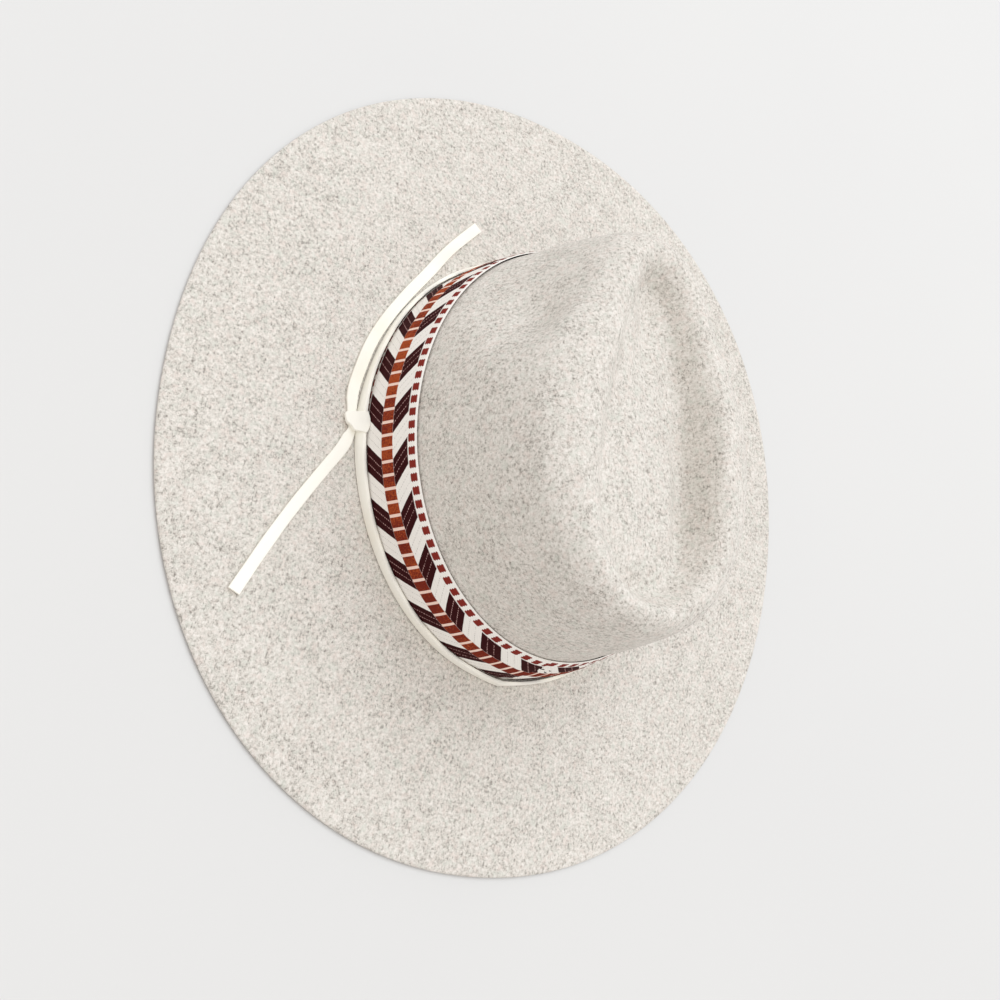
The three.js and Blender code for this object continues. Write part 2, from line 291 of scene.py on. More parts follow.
@dataclass(frozen=True)
class FeltFinish:
    """Pressed wool felt: a pale ground with darker and lighter fibres pressed into it."""

    nap: bpy.types.NodeTree
    ground: Colour = (213, 208, 200)
    pale: Colour = (236, 231, 225)
    fleck: Colour = (140, 134, 127)
    warm: Colour = (224, 210, 202)
    cool: Colour = (208, 212, 202)
    tint_share: float = 0.4
    warm_from: Span = (0.52, 0.7)
    cool_from: Span = (0.48, 0.3)
    rough: float = 0.96
    grain_scale: float = 680.0
    grain_rough: float = 0.84
    grain_gain: float = 3.1
    hue_scale: float = 0.45
    fibre_turns: Sequence[Point] = ((0.3, 0.2, 0.4), (-0.4, 0.5, 1.5), (0.6, -0.3, 2.5))
    fibre_stretch: Point = (1.0, 0.3, 1.0)
    fibre_scale: float = 1200.0
    dark_fibre: float = 0.32
    dark_from: Span = (0.6, 0.8)
    pale_fibre: float = 0.192
    pale_from: Span = (0.4, 0.2)
    mottle_scale: float = 95.0
    mottle_gain: float = 0.5
    nap_scale: float = 2100.0
    middle_tone: float = 0.62
    fleck_tones: Span = (0.0, 0.62)
    pale_tones: Span = (0.55, 1.1)
    sheen: float = 0.12
    sheen_rough: float = 0.6

    def tone(self, wire: Wiring, place: Socket, grain: Socket) -> Socket:
        """Work out how dark or pale the fibres are at each place.

        Args:
            wire: The material's wiring.
            place: The place on the felt.
            grain: The felt's grain there.

        Returns:
            The tone, low for a dark fleck and high for a pale fibre.
        """
        fibres = [
            wire.noise(wire.stretched(place, turn, self.fibre_stretch), self.fibre_scale, 1, 0.5, 0.6)
            for turn in self.fibre_turns
        ]
        darkest = wire.math("MAXIMUM", wire.math("MAXIMUM", fibres[0], fibres[1]), fibres[2])
        palest = wire.math("MINIMUM", wire.math("MINIMUM", fibres[0], fibres[1]), fibres[2])
        mottle = wire.noise(place, self.mottle_scale, 3, 0.6)
        tone = wire.scaled(wire.less(grain, 0.5), self.grain_gain, self.middle_tone)
        tone = wire.scaled(wire.less(mottle, 0.5), self.mottle_gain, tone)
        tone = wire.scaled(wire.step(darkest, *self.dark_from), -self.dark_fibre, tone)
        return wire.scaled(wire.step(palest, *self.pale_from), self.pale_fibre, tone)

    def material(self) -> bpy.types.Material:
        """Build the felt's material.

        Returns:
            The material.
        """
        made, wire, surface, place = blank_material("heathered_felt", self.rough)
        grain = wire.noise(place, self.grain_scale, 4, self.grain_rough, 0.25)
        tone = self.tone(wire, place, grain)
        low = wire.blend(wire.step(tone, *self.fleck_tones), linear(*self.fleck), linear(*self.ground))
        colour = wire.blend(wire.step(tone, *self.pale_tones), low, linear(*self.pale))
        hue = wire.noise(place, self.grain_scale * self.hue_scale, 2, 0.6, 0.5)
        for span, tint in ((self.warm_from, self.warm), (self.cool_from, self.cool)):
            share = wire.times(wire.step(hue, *span), self.tint_share)
            colour = wire.blend(share, colour, linear(*tint))
        wire.join(colour, surface.inputs["Base Color"])
        nap = wire.group(self.nap, Place=place, Scale=self.nap_scale)
        height = wire.scaled(grain, 0.6, wire.times(nap.outputs["Height"], 0.4))
        add_bump(wire, surface, height, strength=0.5, depth_mm=0.3)
        surface.inputs["Sheen Weight"].default_value = self.sheen
        surface.inputs["Sheen Roughness"].default_value = self.sheen_rough
        return made


@dataclass(frozen=True)
class Weave:
    """Where a point lies in the ribbon's weave: sockets of one material, lengths in millimetres."""

    wire: Wiring
    place: Socket
    repeats: Socket
    mm: Socket
    across: Socket
    above: Socket
    off: Socket
    wander: Socket
    run: Socket


@dataclass(frozen=True)
class RibbonFinish:
    """Woven ribbon. Heights run from its foot, in millimetres, and lie on both sides of the middle column."""

    height: float = 37.6
    repeats: int = 25
    repeat_length: float = 23.5
    middle: float = 18.2
    centre_half: float = 4.1
    slant_upper: float = 14.0
    slant_lower: float = 15.5
    slant_rise: float = 0.8
    upper_shift: float = 1.5
    dash_upper: float = 18.5
    dash_lower: float = 17.8
    dash_gap: Span = (0.3, 0.7)
    dash_side: Span = (0.32, 0.28)
    dash_tooth: float = 1.3
    blocks: int = 4
    block_start: float = 1.76
    block_lean: float = 0.1
    block_side: Span = (0.405, 0.375)
    dark_share: float = 0.51
    soft_edge: float = 0.22
    soft_bar: float = 0.014
    fray_scale: float = 9.0
    fray: float = 0.5
    thread_half: Span = (0.09, 0.035)
    thread_dot: float = 1.05
    # The next two fields darken the rust blocks round the back of the crown. This is painted shade, because
    # the back faces away from the lamp.
    rear_shade_depth: float = 0.16
    rear_from: Span = (1.2, 4.5)
    weft: float = 0.42
    warp: float = 0.55
    twill: float = 0.98
    rough: float = 0.85
    gloss: float = 0.12
    rust: Colour = (176, 80, 38)
    rust_deep: Colour = (122, 40, 26)
    maroon: Colour = (54, 9, 12)
    maroon_pale: Colour = (214, 172, 168)
    cream: Colour = (254, 251, 246)
    cream_line: Colour = (178, 174, 168)
    blush: Colour = (255, 226, 212)
    dash: Colour = (136, 46, 38)

    def weave(self, wire: Wiring) -> Weave:
        """Read the UV map, which holds repeats along and the share of the height across.

        Args:
            wire: The material's wiring.

        Returns:
            Where each point lies.
        """
        place = wire.node("UVMap", uv_map="ribbon").outputs[0]
        spread = wire.node("SeparateXYZ")
        wire.join(place, spread.inputs[0])
        across = wire.times(spread.outputs[1], self.height)
        above = wire.math("GREATER_THAN", across, self.middle)
        off = wire.from_middle(across, self.middle)
        mm = wire.times(spread.outputs[0], self.repeat_length)
        frayed = wire.noise(place, self.fray_scale, 4, 0.7)
        wander = wire.times(wire.less(frayed, 0.5), self.fray)
        lean = wire.times(wire.less(off, self.centre_half), self.slant_rise)
        lean = wire.scaled(above, -self.upper_shift, lean)
        run = wire.math("ADD", wire.math("ADD", mm, lean), wander)
        return Weave(wire, place, spread.outputs[0], mm, across, above, off, wander, run)

    def columns(self, at: Weave) -> tuple[Socket, Socket, Socket]:
        """Mark the middle column of blocks, the slanted columns and the dashed edges.

        Args:
            at: Where each point lies.

        Returns:
            The three masks.
        """
        wire, soft = at.wire, self.soft_edge
        gain = self.slant_upper - self.slant_lower
        slant_end = wire.scaled(at.above, gain, self.slant_lower)
        gain = self.dash_upper - self.dash_lower
        dash_end = wire.scaled(at.above, gain, self.dash_lower)
        centre = wire.step(at.off, self.centre_half + soft, self.centre_half - soft)
        to_slant = wire.less(at.off, slant_end)
        slant = wire.times(wire.step(to_slant, soft, -soft), wire.less(1, centre))
        to_dash = wire.less(at.off, dash_end)
        dash = wire.times(wire.step(to_slant, *self.dash_gap), wire.step(to_dash, soft, -soft))
        return centre, slant, dash

    def chevrons(self, at: Weave) -> Socket:
        """Colour the slanted columns: dark and cream bars, with fine dotted threads in them.

        Args:
            at: Where each point lies.

        Returns:
            The colour.
        """
        wire = at.wire
        phase = wire.beat(at.run, self.repeat_length)
        dark = wire.band(phase, 0.0, self.dark_share, self.soft_bar)
        sixth = wire.math("FRACT", wire.scaled(phase, 6, 0.5))
        near = wire.from_middle(sixth, 0.5)
        half = wire.math("FRACT", wire.scaled(phase, 2, 0.25))
        inner = wire.math("GREATER_THAN", half, 0.45)
        wave = wire.wave(at.off, self.thread_dot)
        thread = wire.times(wire.step(near, *self.thread_half), inner)
        thread = wire.times(thread, wire.step(wave, -0.55, 0.1))
        thread = wire.times(thread, wire.step(wire.noise(at.place, 26, 2, 0.6), 0.36, 0.52))
        maroon = wire.blend(wire.times(thread, 0.9), linear(*self.maroon), linear(*self.maroon_pale))
        cream = wire.blend(wire.times(thread, 0.6), linear(*self.cream), linear(*self.cream_line))
        return wire.blend(dark, cream, maroon)

    def blocks_and_dashes(self, at: Weave) -> tuple[Socket, Socket]:
        """Colour the rust blocks of the middle column and the dashes along the edges, which keep one beat.

        Args:
            at: Where each point lies.

        Returns:
            The two colours.
        """
        wire = at.wire
        leaning = wire.times(wire.less(at.across, self.middle), -self.block_lean)
        begun = wire.less(wire.math("ADD", at.mm, leaning), self.block_start)
        beat = wire.beat(begun, self.repeat_length / self.blocks)
        off_beat = wire.from_middle(beat, 0.5)
        uneven = wire.noise(at.place, 30, 3, 0.6)
        faded = wire.noise(wire.stretched(at.place, (0, 0, 0), (1.0, 0.5, 1.0)), 1.7, 2, 0.5)
        wear_and_rear_shade = wire.scaled(wire.less(faded, 0.5), 0.9, uneven)
        # Painted shade: the rust blocks turn deeper round the back of the crown, on top of their uneven wear.
        wear_and_rear_shade = wire.scaled(wire.step(at.repeats, *self.rear_from), -self.rear_shade_depth, wear_and_rear_shade)
        rust = wire.blend(wire.step(wear_and_rear_shade, 0.34, 0.66), linear(*self.rust_deep), linear(*self.rust))
        blocks = wire.blend(wire.step(off_beat, *self.block_side), linear(*self.blush), rust)
        teeth = wire.wave(at.across, self.dash_tooth)
        ragged = wire.scaled(teeth, 0.035, wire.times(at.wander, 0.12))
        in_dash = wire.step(wire.math("ADD", off_beat, ragged), *self.dash_side)
        return blocks, wire.blend(in_dash, linear(*self.cream), linear(*self.dash))

    def material(self) -> bpy.types.Material:
        """Build the ribbon's material.

        Returns:
            The material.
        """
        made, wire, surface, _ = blank_material("chevron_ribbon", self.rough, self.gloss)
        at = self.weave(wire)
        in_centre, in_slant, in_dash = self.columns(at)
        blocks, dashes = self.blocks_and_dashes(at)
        colour = linear(*self.cream)
        for mask, column in ((in_centre, blocks), (in_slant, self.chevrons(at)), (in_dash, dashes)):
            colour = wire.blend(mask, colour, column)
        weft, warp = wire.wave(at.mm, self.weft), wire.wave(at.off, self.warp)
        twill = wire.wave(at.run, self.twill)
        value = wire.scaled(weft, 0.045, wire.scaled(twill, 0.035, 0.97))
        shade = wire.node("HueSaturation")
        wire.join(wire.scaled(warp, 0.03, value), shade.inputs["Value"])
        wire.join(colour, shade.inputs["Color"])
        wire.join(shade.outputs[0], surface.inputs["Base Color"])
        relief = wire.scaled(weft, 0.25, wire.scaled(warp, 0.2, 0.5))
        relief = wire.math("ADD", relief, wire.times(wire.times(twill, in_slant), 0.3))
        add_bump(wire, surface, relief, strength=0.5, depth_mm=0.12)
        return made


@dataclass(frozen=True)
class LaceFinish:
    """Cream faux suede, matt, with a fine nap and slightly yellower patches."""

    nap: bpy.types.NodeTree
    ground: Colour = (255, 253, 244)
    deep: Colour = (250, 244, 228)
    patch_scale: float = 28.0
    patch_from: Span = (0.45, 0.75)
    patch_share: float = 0.55
    nap_scale: float = 3200.0
    nap_from: Span = (0.55, 0.8)
    nap_share: float = 0.35
    rough: float = 0.85
    sheen: float = 0.35

    def material(self) -> bpy.types.Material:
        """Build the lace's material.

        Returns:
            The material.
        """
        made, wire, surface, place = blank_material("cream_faux_suede", self.rough)
        nap = wire.group(self.nap, Place=place, Scale=self.nap_scale)
        patch = wire.noise(place, self.patch_scale, 2, 0.5)
        colour = linear(*self.ground)
        for mask, span, share in (
            (patch, self.patch_from, self.patch_share),
            (nap.outputs["Tint"], self.nap_from, self.nap_share),
        ):
            colour = wire.blend(wire.times(wire.step(mask, *span), share), colour, linear(*self.deep))
        wire.join(colour, surface.inputs["Base Color"])
        add_bump(wire, surface, nap.outputs["Height"], strength=0.35, depth_mm=0.12)
        surface.inputs["Sheen Weight"].default_value = self.sheen
        return made


@dataclass(frozen=True)
class ThreadFinish:
    """Dark sewing thread, matt, its twist just visible."""

    ground: Colour = (30, 26, 26)
    light: Colour = (70, 62, 60)
    twist_scale: float = 2600.0
    light_from: Span = (0.45, 0.7)

    def material(self) -> bpy.types.Material:
        """Build the thread's material.

        Returns:
            The material.
        """
        made, wire, surface, place = blank_material("dark_thread", rough=0.8)
        twist = wire.noise(place, self.twist_scale, 2, 0.6)
        colour = wire.blend(wire.step(twist, *self.light_from), linear(*self.ground), linear(*self.light))
        wire.join(colour, surface.inputs["Base Color"])
        add_bump(wire, surface, twist, strength=0.4, depth_mm=0.1)
        return made


@dataclass(frozen=True)
class FloorFinish:
    """Plain pale matt floor."""

    ground: Colour = (222, 222, 221)
    deep: Colour = (218, 218, 218)
    cloud_scale: float = 3.0

    def material(self) -> bpy.types.Material:
        """Build the floor's material.

        Returns:
            The material.
        """
        made, wire, surface, place = blank_material("pale_floor", rough=0.9)
        cloud = wire.noise(place, self.cloud_scale, 2)
        wire.join(wire.blend(cloud, linear(*self.ground), linear(*self.deep)), surface.inputs["Base Color"])
        return made


def blank_material(
    name: str, rough: float, gloss: float = 0.25
) -> tuple[bpy.types.Material, Wiring, bpy.types.Node, Socket]:
    """Start a material.

    Args:
        name: The material's name.
        rough: The surface's roughness.
        gloss: How strongly the surface mirrors.

    Returns:
        The material, its wiring, its surface shader, and the place in the object's own space.
    """
    made = bpy.data.materials.new(name)
    made.use_nodes = True
    wire = Wiring(made.node_tree)
    surface = next(n for n in made.node_tree.nodes if n.type == "BSDF_PRINCIPLED")
    surface.inputs["Roughness"].default_value = rough
    surface.inputs["Specular IOR Level"].default_value = gloss
    return made, wire, surface, wire.node("TexCoord").outputs["Object"]


def add_bump(wire: Wiring, surface: bpy.types.Node, height: Socket, strength: float, depth_mm: float) -> None:
    """Give a surface a bump.

    Args:
        wire: The material's wiring.
        surface: Its surface shader.
        height: The height, from 0 to 1.
        strength: How much of the bump is taken.
        depth_mm: How deep the bump is from 0 to 1, in millimetres.
    """
    bump = wire.node("Bump")
    bump.inputs["Strength"].default_value = strength
    bump.inputs["Distance"].default_value = depth_mm * MM
    wire.join(height, bump.inputs["Height"])
    wire.join(bump.outputs[0], surface.inputs["Normal"])


class Bench:
    """The steps by hand that the pieces share."""

    @staticmethod
    def take(piece: bpy.types.Object) -> None:
        """Select one object alone and make it active."""
        bpy.ops.object.select_all(action="DESELECT")
        piece.select_set(True)
        bpy.context.view_layer.objects.active = piece

    @staticmethod
    def edit(piece: bpy.types.Object) -> None:
        """Open one object in edit mode with all of its mesh selected."""
        Bench.take(piece)
        bpy.ops.object.mode_set(mode="EDIT")
        bpy.ops.mesh.select_mode(type="VERT")
        bpy.ops.mesh.select_all(action="SELECT")

    @staticmethod
    def leave() -> None:
        """Go back to object mode."""
        bpy.ops.object.mode_set(mode="OBJECT")

    @staticmethod
    def copy_of_node(node: str, name: str) -> bpy.types.Object:
        """Copy a CAD node into a new piece of quads, joined at its corners.

        Args:
            node: The node's name.
            name: The new piece's name.

        Returns:
            The new piece.
        """
        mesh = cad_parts[node].data.copy()
        mesh.materials.clear()
        mesh.name = name
        piece = bpy.data.objects.new(name, mesh)
        bpy.context.scene.collection.objects.link(piece)
        Bench.edit(piece)
        bpy.ops.mesh.customdata_custom_splitnormals_clear()
        bpy.ops.mesh.remove_doubles(threshold=SAME_POINT)
        wide = math.radians(QUAD_ANGLE)
        bpy.ops.mesh.tris_convert_to_quads(face_threshold=wide, shape_threshold=wide)
        Bench.leave()
        return piece

    @staticmethod
    def select_faces(piece: bpy.types.Object, test: Callable[[bpy.types.MeshPolygon], bool]) -> None:
        """Open a piece in edit mode with only the faces selected that pass a test."""
        Bench.edit(piece)
        bpy.ops.mesh.select_mode(type="FACE")
        bpy.ops.mesh.select_all(action="DESELECT")
        Bench.leave()
        for face in piece.data.polygons:
            face.select = test(face)
        bpy.ops.object.mode_set(mode="EDIT")

    @staticmethod
    def apply(piece: bpy.types.Object, kind: str, **settings: object) -> None:
        """Add a modifier to a piece and apply it.

        Args:
            piece: The piece.
            kind: The modifier's type.
            settings: The modifier's properties.
        """
        Bench.take(piece)
        made = piece.modifiers.new(kind.lower(), kind)
        for name, value in settings.items():
            setattr(made, name, value)
        bpy.ops.object.modifier_apply(modifier=made.name)

    @staticmethod
    def subdivide(piece: bpy.types.Object, levels: int) -> None:
        """Split each face of a piece in four, as many times as there are levels."""
        Bench.apply(piece, "SUBSURF", levels=levels, render_levels=levels)

    @staticmethod
    def bevel(piece: bpy.types.Object, width: float, angle: float) -> None:
        """Round the edges sharper than an angle in degrees, by a width in millimetres."""
        sharp = math.radians(angle)
        Bench.apply(piece, "BEVEL", width=width * MM, segments=2, limit_method="ANGLE", angle_limit=sharp)

    @staticmethod
    def named(name: str) -> bpy.types.Object:
        """Name the object that was made last, and its mesh, and hand it over."""
        piece = bpy.context.object
        piece.name = name
        piece.data.name = name
        return piece

    @staticmethod
    def smooth(piece: bpy.types.Object, angle: float = 40.0) -> None:
        """Shade a piece smooth, apart from edges sharper than an angle in degrees."""
        Bench.take(piece)
        bpy.ops.object.shade_smooth_by_angle(angle=math.radians(angle))

    @staticmethod
    def points(piece: bpy.types.Object) -> np.ndarray:
        """Read a piece's points as rows of x, y, z."""
        flat = np.empty(len(piece.data.vertices) * 3)
        piece.data.vertices.foreach_get("co", flat)
        return flat.reshape(-1, 3)

    @staticmethod
    def place(piece: bpy.types.Object, points: np.ndarray) -> None:
        """Write a piece's points back."""
        piece.data.vertices.foreach_set("co", points.ravel())
        piece.data.update()

    @staticmethod
    def finish(
        piece: bpy.types.Object, material: bpy.types.Material, slot: Slot, nodes: Sequence[str]
    ) -> None:
        """Dress a finished piece and tie it to the frame.

        Args:
            piece: The piece.
            material: Its material.
            slot: Not used.
            nodes: The CAD nodes that it stands for.
        """
        piece.data.materials.clear()
        piece.data.materials.append(material)
        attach(piece, BODY)
        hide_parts(*nodes)
        sides = sum(len(face.vertices) - 2 for face in piece.data.polygons)
        log.info("%s: %d triangles, stands for %s", piece.name, sides, ", ".join(nodes))


@dataclass
class Studio:
    """The camera at the photo's angle, a plain pale floor and soft light."""

    camera_at: Point = (0.25776, 0.15453, 0.39968)
    right: Point = (-0.8278, -0.10712, 0.5507)
    up: Point = (0.23895, -0.95543, 0.17334)
    back: Point = (0.50759, 0.27509, 0.8165)
    lens: float = 36.097
    sensor: float = 36.0
    floor_size: float = 6.0
    sky: float = 0.82
    sky_colour: tuple[float, float, float, float] = (1.0, 0.957, 0.922, 1.0)
    lamp_from: Point = (-0.75, -1.7, 4.0)
    lamp_size: float = 4.0
    lamp_power: float = 106.0
    lamp_colour: tuple[float, float, float] = (0.93, 1.0, 1.06)

    def set_camera(self) -> None:
        """Put the camera where the photo was taken from."""
        bpy.ops.object.camera_add()
        camera = bpy.context.object
        camera.name = "photo_camera"
        turn = Matrix((self.right, self.up, self.back)).transposed().to_4x4()
        camera.matrix_world = Matrix.Translation(self.camera_at) @ turn
        camera.data.sensor_width = self.sensor
        camera.data.lens = self.lens
        camera.data.clip_start = 0.01
        bpy.context.scene.camera = camera

    def set_floor(self) -> None:
        """Lay the floor that the hat rests on."""
        bpy.ops.mesh.primitive_plane_add(size=self.floor_size, location=(0, 0, 0))
        floor = Bench.named("floor")
        floor.data.materials.append(FloorFinish().material())

    def set_light(self) -> None:
        """Hang one large soft lamp in an even pale surrounding."""
        scene = bpy.context.scene
        scene.view_settings.view_transform = "Standard"
        scene.world = bpy.data.worlds.new("even_surrounding")
        scene.world.use_nodes = True
        ground = scene.world.node_tree.nodes["Background"]
        ground.inputs["Color"].default_value = self.sky_colour
        ground.inputs["Strength"].default_value = self.sky
        bpy.ops.object.light_add(type="AREA", location=self.lamp_from)
        lamp = bpy.context.object
        lamp.name = "soft_lamp"
        lamp.data.size = self.lamp_size
        lamp.data.energy = self.lamp_power
        lamp.data.color = self.lamp_colour
        lamp.rotation_euler = (-Vector(self.lamp_from)).to_track_quat("-Z", "Y").to_euler()


@dataclass
class LaceTail:
    """One free end of the lace: a flat strip that lies on the brim along a route."""

    name: str
    node: str
    route: Sequence[tuple[float, float]]
    height: float = 3.7
    width: float = 5.5
    thickness: float = 1.6
    corner: float = 0.45
    steps: int = 32
    ripple: float = 0.12
    under_knot: float = 3.4
    tucked: float = 0.0
    tuck_reach: float = 12.0
    seed: float = 1.7
    wave_step: float = 0.31
    breadth_step: float = 0.23
    breadth_gain: float = 0.05
    breadth_seed: float = 5.0

    def path(self) -> np.ndarray:
        """Walk the route on a smooth curve.

        Returns:
            Points along the strip's middle, in metres.
        """
        knots = [np.array((x, y, self.height)) * MM for x, y in self.route]
        knots = [2 * knots[0] - knots[1], *knots, 2 * knots[-1] - knots[-2]]
        spans = len(self.route) - 1
        walked = [centripetal(knots, spans * i / (self.steps * 4)) for i in range(self.steps * 4 + 1)]
        return even_walk(np.array(walked), self.steps)

    def section(self) -> np.ndarray:
        """Draw the strip's section: a flat bar with rounded corners.

        Returns:
            Rows of across and up, in metres.
        """
        half = np.array((self.width / 2 - self.corner, self.thickness / 2 - self.corner))
        corners = ((1, 1), (-1, 1), (-1, -1), (1, -1))
        turns = [quarter * math.pi / 2 + step * math.pi / 6 for quarter in range(4) for step in range(4)]
        drawn = []
        for index, turn in enumerate(turns):
            middle = half * corners[index // 4]
            drawn.append(middle + self.corner * np.array((math.cos(turn), math.sin(turn))))
        return np.array(drawn) * MM

    def build(self, material: bpy.types.Material) -> bpy.types.Object:
        """Make the tail and dress it.

        Args:
            material: The lace's material.

        Returns:
            The piece.
        """
        path = self.path()
        section = self.section()
        backward = (path[0] - path[1]) / np.linalg.norm(path[0] - path[1])
        drawn = [path[0] + backward * self.under_knot * MM, *path]
        rings = []
        for index, point in enumerate(drawn):
            before, after = drawn[max(index - 1, 0)], drawn[min(index + 1, len(drawn) - 1)]
            forward = Vector(after - before).normalized()
            aside = np.array(Vector((0, 0, 1)).cross(forward).normalized())
            wave = noise.noise(Vector((index * self.wave_step, self.seed, 0)))
            uneven = noise.noise(Vector((self.seed, index * self.breadth_step, self.breadth_seed)))
            breadth = 1 + self.breadth_gain * uneven
            lift = self.ripple * MM * wave
            shown = 1 - abs(self.tucked) * (1 - float(ease(index / self.steps * self.tuck_reach, 0, 1)))
            across = [(a * breadth * (shown if a * self.tucked < 0 else 1), u + lift) for a, u in section]
            rings.append([point + aside * a + np.array((0, 0, u)) for a, u in across])
        piece = ring_mesh(self.name, np.array(rings))
        Bench.smooth(piece, 60)
        Bench.finish(piece, material, Slot.LACE, [self.node])
        return piece


def metres(point: Sequence[float]) -> list[float]:
    """Turn a point from millimetres into metres."""
    return [value * MM for value in point]


def centripetal(knots: Sequence[np.ndarray], at: float) -> np.ndarray:
    """Find a point on the smooth curve through some knots, the first and last of which only steer it.

    Args:
        knots: The knots.
        at: How far along the point is, counted in spans.

    Returns:
        The point.
    """
    span = min(int(at), len(knots) - 4)
    before, start, end, after = knots[span : span + 4]
    share = at - span
    times = [0.0]
    for low, high in ((before, start), (start, end), (end, after)):
        times.append(times[-1] + float(np.linalg.norm(high - low)) ** 0.5)
    now = times[1] + share * (times[2] - times[1])

    def between(a: np.ndarray, b: np.ndarray, low: float, high: float) -> np.ndarray:
        """Go in a straight line from a at the time low to b at the time high."""
        return a + (b - a) * (now - low) / (high - low)

    first = between(before, start, times[0], times[1])
    second = between(start, end, times[1], times[2])
    third = between(end, after, times[2], times[3])
    early = between(first, second, times[0], times[2])
    late = between(second, third, times[1], times[3])
    return between(early, late, times[1], times[2])


def even_walk(points: np.ndarray, steps: int) -> np.ndarray:
    """Take evenly spaced points along a fine line.

    Args:
        points: The fine line.
        steps: How many equal steps are taken.

    Returns:
        The points, one more than the steps.
    """
    walked = np.concatenate([[0], np.cumsum(np.linalg.norm(np.diff(points, axis=0), axis=1))])
    stops = np.linspace(0, walked[-1], steps + 1)
    return np.stack([np.interp(stops, walked, points[:, axis]) for axis in range(3)], axis=1)


def ring_mesh(name: str, rings: np.ndarray) -> bpy.types.Object:
    """Skin a row of rings into one closed piece, with its two ends filled.

    Args:
        name: The piece's name.
        rings: The rings in order, each a row of points.

    Returns:
        The piece.
    """
    count, around = rings.shape[:2]
    faces = []
    for row in range(count - 1):
        for side in range(around):
            near, far = row * around, (row + 1) * around
            after = (side + 1) % around
            faces.append((near + side, near + after, far + after, far + side))
    faces.append(tuple(range(around))[::-1])
    faces.append(tuple(range((count - 1) * around, count * around)))
    mesh = bpy.data.meshes.new(name)
    mesh.from_pydata(rings.reshape(-1, 3).tolist(), [], faces)
    piece = bpy.data.objects.new(name, mesh)
    bpy.context.scene.collection.objects.link(piece)
    Bench.edit(piece)
    bpy.ops.mesh.normals_make_consistent(inside=False)
    Bench.leave()
    return piece


@dataclass(frozen=True)
class Push:
    """One soft push by hand on the felt: its middle, how far it reaches and how it moves, in millimetres."""

    at: Point
    reach: Point
    move: Point

    def apply(self, points: np.ndarray) -> np.ndarray:
        """Move the points near the push, less the farther off they lie.

        Args:
            points: Rows of x, y, z in metres.

        Returns:
            The moved points.
        """
        off = (points / MM - np.array(self.at)) / np.array(self.reach)
        weight = np.exp(-(off**2).sum(axis=1))
        return points + weight[:, None] * np.array(self.move) * MM


CROWN_PUSHES = (
    Push((12, -46, 92), (8, 14, 15), (0, 0, 5.6)),
    Push((22, -26, 94), (9, 14, 16), (0, 0, 6.0)),
    Push((27, -4, 96), (9, 15, 16), (0, 0, 5.6)),
    Push((28, 20, 97), (9, 16, 16), (0, 0, 5.8)),
    Push((27, 44, 98), (9, 14, 16), (0, 0, 4.6)),
    Push((18, 62, 98), (9, 9, 16), (0, 0, 4.0)),
    Push((8, -16, 92), (12, 22, 16), (0, 0, 2.6)),
    Push((8, 14, 94), (12, 22, 16), (0, 0, 3.4)),
    Push((8, 44, 96), (12, 20, 16), (0, 0, 2.6)),
    Push((-16, -22, 90), (7, 18, 14), (0, 0, -2.6)),
    Push((-20, 10, 92), (7, 18, 14), (0, 0, -4.6)),
    Push((-21, 40, 94), (7, 17, 14), (0, 0, -4.2)),
    Push((-26, -6, 91), (5, 15, 14), (0, 0, -3.4)),
    Push((-28, 18, 92), (5, 15, 14), (0, 0, -4.0)),
    Push((-28, 42, 94), (5, 13, 14), (0, 0, -3.6)),
    Push((-37, 16, 104), (5, 34, 12), (0.6, 0, 1.8)),
    Push((-11, -52, 90), (8, 10, 14), (0, 0, 1.6)),
    Push((57, -38, 80), (13, 17, 13), (-5.6, 2.4, 0)),
    Push((-57, -38, 80), (13, 17, 13), (5.6, 2.4, 0)),
    Push((70, -32, 52), (7, 13, 9), (1.3, -0.3, 0)),
    Push((-70, -32, 52), (7, 13, 9), (-1.3, -0.3, 0)),
    Push((68, -8, 74), (6, 9, 12), (1.0, 0.2, 0)),
    Push((-6, -24, 92), (4, 16, 12), (0, 0, 1.3)),
    Push((-17, 14, 92), (4, 18, 12), (0, 0, 1.6)),
    Push((-15, 44, 93), (4, 13, 12), (0, 0, 1.3)),
)


@dataclass
class FeltBody:
    """Brim and crown, pressed from one felt body."""

    pushes: Sequence[Push] = CROWN_PUSHES
    stroke_at: Point = (9.0, 61.0, 96.0)
    stroke_reach: Point = (32.0, 23.0, 14.0)
    strokes: int = 80
    node: str = "felt_body"
    levels: int = 2

    def even_out(self, piece: bpy.types.Object) -> None:
        """Stroke the felt smooth where the dent's rear near end runs into the crest."""
        points = Bench.points(piece) / MM
        Bench.edit(piece)
        bpy.ops.mesh.select_all(action="DESELECT")
        Bench.leave()
        far = np.linalg.norm((points - self.stroke_at) / self.stroke_reach, axis=1)
        piece.data.vertices.foreach_set("select", far < 1)
        bpy.ops.object.mode_set(mode="EDIT")
        bpy.ops.mesh.vertices_smooth(factor=0.5, repeat=self.strokes)
        Bench.leave()

    def build(self, material: bpy.types.Material) -> bpy.types.Object:
        """Make the felt body and dress it.

        Args:
            material: The felt's material.

        Returns:
            The piece.
        """
        piece = Bench.copy_of_node(self.node, "pressed_felt")
        Bench.subdivide(piece, self.levels)
        points = Bench.points(piece)
        for push in self.pushes:
            points = push.apply(points)
        Bench.place(piece, points)
        self.even_out(piece)
        Bench.smooth(piece, 60)
        Bench.finish(piece, material, Slot.FELT, [self.node])
        return piece


def ease(value: np.ndarray, start: float, end: float) -> np.ndarray:
    """Go smoothly from 0 to 1 while each value goes from start to end."""
    share = np.clip((value - start) / (end - start), 0, 1)
    return share * share * (3 - 2 * share)


